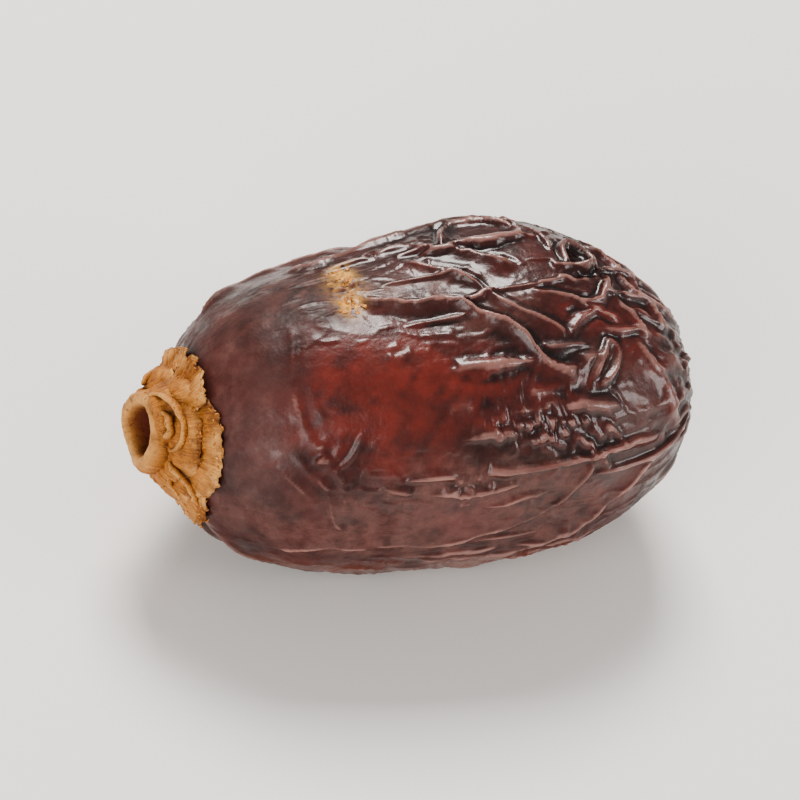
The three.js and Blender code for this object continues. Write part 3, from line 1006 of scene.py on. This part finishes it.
def rolledEdge(corners, radiusMm, seed):
    sides = 12
    path = roundedPath(corners, 3)
    middle = []
    for radius, turn, height in path:
        hit, out = onSkin(radius, math.radians(turn))
        middle.append(hit + out * (height - 0.25) * mm)
    middle = np.array(middle)
    way = np.gradient(middle, axis=0)
    way /= np.linalg.norm(way, axis=1, keepdims=True)
    share = np.linspace(0, 1, len(path))
    thick = radiusMm * mm * np.sqrt(np.clip(np.sin(math.pi * (0.04 + 0.92 * share)), 0, 1))
    thick *= 1 + 0.14 * np.cos(share * 17 + seed) + 0.08 * np.cos(share * 41 + seed)
    side = np.cross(way, capOut)
    side /= np.linalg.norm(side, axis=1, keepdims=True)
    up = np.cross(side, way)
    turn = np.arange(sides) / sides * 2 * math.pi
    ring = side[:, None] * np.cos(turn)[None, :, None] + up[:, None] * np.sin(turn)[None, :, None] * 1.25
    places = middle[:, None] + ring * thick[:, None, None]
    index = np.arange(len(path) * sides).reshape(len(path), sides)
    after = np.roll(index, -1, 1)
    faces = np.stack([index[:-1], index[1:], after[1:], after[:-1]], 2).reshape(-1, 4)
    count = len(path) * sides
    values = {
        "edge": np.zeros(count),
        "fibre": np.repeat(share * 2, sides) + seed,
        "outward": np.tile(turn * 0.3, len(path)),
        # painted highlight: the side of each cord facing out from the cap is made cream
        "lipHighlight": np.tile(np.maximum(np.sin(turn), 0) * 0.9, len(path)),
        "hollow": np.zeros(count),
    }
    return places.reshape(-1, 3), faces, values


def buildCap():
    parts = [petalSheet(p, n + 1) for n, p in enumerate(petals)] + [scarRing(40)]
    parts += [rolledEdge(*roll, n + 50) for n, roll in enumerate(rolls)]
    places, faces, start = [], [], 0
    for part in parts:
        places.append(part[0])
        faces.append(part[1] + start)
        start += len(part[0])
    values = {key: np.concatenate([part[2][key] for part in parts]) for key in parts[0][2]}
    piece = makeMesh("calyxHusk", np.concatenate(places), np.concatenate(faces), values)
    form = bmesh.new()
    form.from_mesh(piece.data)
    bmesh.ops.remove_doubles(form, verts=form.verts, dist=1e-7)
    bmesh.ops.holes_fill(form, edges=form.edges, sides=0)
    bmesh.ops.recalc_face_normals(form, faces=form.faces)
    form.to_mesh(piece.data)
    form.free()
    return piece


capColours = {
    "straw": (0.58, 0.245, 0.048, 1),
    "ochre": (0.27, 0.078, 0.012, 1),
    "brown": (0.085, 0.022, 0.006, 1),
    "cream": (0.78, 0.44, 0.16, 1),
    "hollow": (0.10, 0.014, 0.006, 1),
}


def capPaint(c):
    paint, tree, shader = newPaint("dry cap")
    where = addNode(tree, "ShaderNodeTexCoord").outputs["Object"]
    grain = placeBlotches(tree, where, 700, 5200)
    # fibres run outwards from the stem
    along = addNode(tree, "ShaderNodeCombineXYZ")
    plug(tree, along.inputs[0], maths(tree, "MULTIPLY", attribute(tree, "fibre"), 24.0))
    plug(tree, along.inputs[1], maths(tree, "MULTIPLY", attribute(tree, "outward"), 2.2))
    fibres = noise(tree, along.outputs[0], 1.6, 4, 0.65)
    base = mixColour(tree, remap(tree, fibres, 0.36, 0.64), c["ochre"], c["straw"])
    base = mixColour(tree, remap(tree, grain["Blotches"], 0.55, 1, 0, 0.5), base, c["brown"])
    # painted highlight: cream on the scar's rim and on the outward side of the rolled cords
    patchy = remap(tree, grain["Blotches"], 0, 1, 0.85, 0.25)
    lipHighlight = maths(tree, "MULTIPLY", attribute(tree, "lipHighlight"), patchy)
    base = mixColour(tree, lipHighlight, base, c["cream"])
    specks = maths(tree, "MULTIPLY", remap(tree, noise(tree, where, 2600, 3, 0.7), 0.56, 0.7), 0.7)
    base = mixColour(tree, specks, base, c["brown"])
    # petal edges: brown dried edges, and cream ones that are a painted highlight where the edge catches
    # the light
    edgeColourAndHighlight = mixColour(tree, remap(tree, noise(tree, where, 500, 2), 0.42, 0.6), c["cream"], c["brown"])
    wearAndHighlight = remap(tree, grain["Grain"], 0.35, 0.6, 0.4, 0.9)
    edge = maths(tree, "MULTIPLY", attribute(tree, "edge"), wearAndHighlight)
    base = mixColour(tree, edge, base, edgeColourAndHighlight)
    # painted shade: the scar's hollow and the foot of its ring are darkened
    base = mixColour(tree, attribute(tree, "hollow"), base, c["hollow"])
    # crevices between the petals are darkened by ambient occlusion: painted shade, in the cap's brown
    creviceShade = addNode(tree, "ShaderNodeAmbientOcclusion", samples=6)
    creviceShade.inputs["Distance"].default_value = 0.9 * mm
    base = mixColour(tree, remap(tree, creviceShade.outputs["AO"], 0.8, 0.25, 0, 0.95), base, c["brown"])
    plug(tree, shader.inputs["Base Color"], base)
    plug(tree, shader.inputs["Roughness"], remap(tree, fibres, 0.3, 0.7, 0.5, 0.78))
    shader.inputs["Specular IOR Level"].default_value = 0.35
    height = maths(tree, "ADD", fibres, maths(tree, "MULTIPLY", grain["Grain"], 0.9))
    height = maths(tree, "ADD", height, maths(tree, "MULTIPLY", noise(tree, where, 1800, 4, 0.6), 1.6))
    roughen(tree, shader, height, 0.8, 0.12 * mm)
    return paint


calyxHusk = buildCap()
calyxHusk.data.materials.append(capPaint(capColours))
report("dry cap")


# Crumbs: the golden flake on the skin, and shreds along the petals' edges

def crumbTree(name):
    # scatters flat crumbs over a surface, thickest where the named mask is full
    tree = bpy.data.node_groups.new(name, "GeometryNodeTree")
    face = tree.interface
    face.new_socket("Geometry", in_out="INPUT", socket_type="NodeSocketGeometry")
    kinds = {"Density": "Float", "Mask": "String", "Smallest": "Float", "Largest": "Float",
             "Flatness": "Float", "Length": "Float", "Seed": "Int", "Material": "Material"}
    for label, kind in kinds.items():
        face.new_socket(label, in_out="INPUT", socket_type="NodeSocket" + kind)
    face.new_socket("Geometry", in_out="OUTPUT", socket_type="NodeSocketGeometry")
    entry = tree.nodes.new("NodeGroupInput")
    leave = tree.nodes.new("NodeGroupOutput")
    mask = addNode(tree, "GeometryNodeInputNamedAttribute", data_type="FLOAT")
    plug(tree, mask.inputs["Name"], entry.outputs["Mask"])
    full = maths(tree, "POWER", mask.outputs[0], 2.0)
    scatter = addNode(tree, "GeometryNodeDistributePointsOnFaces", distribute_method="RANDOM")
    plug(tree, scatter.inputs["Mesh"], entry.outputs["Geometry"])
    plug(tree, scatter.inputs["Density"], maths(tree, "MULTIPLY", full, entry.outputs["Density"]))
    plug(tree, scatter.inputs["Seed"], entry.outputs["Seed"])
    lump = addNode(tree, "GeometryNodeMeshIcoSphere")
    lump.inputs["Radius"].default_value = 1.0
    lump.inputs["Subdivisions"].default_value = 1
    rough = addNode(tree, "GeometryNodeSetPosition")
    dent = addNode(tree, "ShaderNodeTexNoise")
    dent.inputs["Scale"].default_value = 1.3
    push = addNode(tree, "ShaderNodeVectorMath", operation="SCALE")
    outward = tree.nodes.new("GeometryNodeInputNormal")
    plug(tree, push.inputs[0], outward.outputs["Normal"])
    plug(tree, push.inputs["Scale"], maths(tree, "MULTIPLY_ADD", dent.outputs["Fac"], 1.6, -0.9))
    plug(tree, rough.inputs["Geometry"], lump.outputs["Mesh"])
    plug(tree, rough.inputs["Offset"], push.outputs[0])
    place = addNode(tree, "GeometryNodeInstanceOnPoints")
    plug(tree, place.inputs["Points"], scatter.outputs["Points"])
    plug(tree, place.inputs["Instance"], rough.outputs["Geometry"])
    turn = addNode(tree, "FunctionNodeRotateEuler", space="LOCAL")
    anyTurn = addNode(tree, "FunctionNodeRandomValue", data_type="FLOAT_VECTOR")
    anyTurn.inputs["Min"].default_value = (-0.5, -0.5, 0)
    anyTurn.inputs["Max"].default_value = (0.5, 0.5, 6.28)
    plug(tree, anyTurn.inputs["Seed"], entry.outputs["Seed"])
    plug(tree, turn.inputs["Rotation"], scatter.outputs["Rotation"])
    plug(tree, turn.inputs["Rotate By"], anyTurn.outputs[0])
    plug(tree, place.inputs["Rotation"], turn.outputs[0])
    size = addNode(tree, "FunctionNodeRandomValue", data_type="FLOAT")
    plug(tree, size.inputs[2], entry.outputs["Smallest"])
    plug(tree, size.inputs[3], entry.outputs["Largest"])
    plug(tree, size.inputs["Seed"], maths(tree, "ADD", entry.outputs["Seed"], 5.0))
    shape = addNode(tree, "ShaderNodeCombineXYZ")
    plug(tree, shape.inputs[0], maths(tree, "MULTIPLY", size.outputs[1], entry.outputs["Length"]))
    plug(tree, shape.inputs[1], size.outputs[1])
    plug(tree, shape.inputs[2], maths(tree, "MULTIPLY", size.outputs[1], entry.outputs["Flatness"]))
    plug(tree, place.inputs["Scale"], shape.outputs[0])
    single = addNode(tree, "GeometryNodeRealizeInstances")
    plug(tree, single.inputs["Geometry"], place.outputs["Instances"])
    painted = addNode(tree, "GeometryNodeSetMaterial")
    plug(tree, painted.inputs["Geometry"], single.outputs["Geometry"])
    plug(tree, painted.inputs["Material"], entry.outputs["Material"])
    plug(tree, leave.inputs["Geometry"], painted.outputs["Geometry"])
    return tree


crumbs = {
    "flakeCrumbs": {
        "on": dateSkin, "Density": 8e6, "Mask": "flake", "Smallest": 0.07 * mm, "Largest": 0.24 * mm,
        "Flatness": 0.35, "Length": 1.5, "Seed": 3,
    },
    "huskShreds": {
        "on": calyxHusk, "Density": 5e6, "Mask": "edge", "Smallest": 0.04 * mm, "Largest": 0.11 * mm,
        "Flatness": 0.5, "Length": 2.6, "Seed": 8,
    },
}


def crumbPaint(c):
    paint, tree, shader = newPaint("dry crumbs")
    where = addNode(tree, "ShaderNodeTexCoord").outputs["Object"]
    grain = placeBlotches(tree, where, 1600, 6000)
    base = mixColour(tree, grain["Blotches"], c["ochre"], c["straw"])
    base = mixColour(tree, remap(tree, grain["Grain"], 0.5, 0.7), base, c["cream"])
    plug(tree, shader.inputs["Base Color"], base)
    plug(tree, shader.inputs["Roughness"], remap(tree, grain["Grain"], 0.3, 0.7, 0.5, 0.8))
    return paint


def scatterCrumbs(name, s, tree, paint):
    carrier = bpy.data.objects.new(name, s["on"].data)
    bpy.context.scene.collection.objects.link(carrier)
    modifier = carrier.modifiers.new("crumbs", "NODES")
    modifier.node_group = tree
    for item in tree.interface.items_tree:
        if item.in_out == "INPUT" and item.name in s:
            modifier[item.identifier] = s[item.name]
        if item.name == "Material":
            modifier[item.identifier] = paint
    evaluated = carrier.evaluated_get(bpy.context.evaluated_depsgraph_get())
    mesh = bpy.data.meshes.new_from_object(evaluated)
    carrier.modifiers.clear()
    carrier.data = mesh
    mesh.name = name
    print(f"{name}: {len(mesh.polygons)} faces")
    return carrier


tree = crumbTree("scattered crumbs")
paint = crumbPaint(capColours)
loosePieces = [scatterCrumbs(name, s, tree, paint) for name, s in crumbs.items()]
for piece in loosePieces:
    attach(piece, "root")
report("crumbs")

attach(dateSkin, "root")
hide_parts("fruit")
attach(calyxHusk, "root")
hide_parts("calyx")

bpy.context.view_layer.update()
report("done")
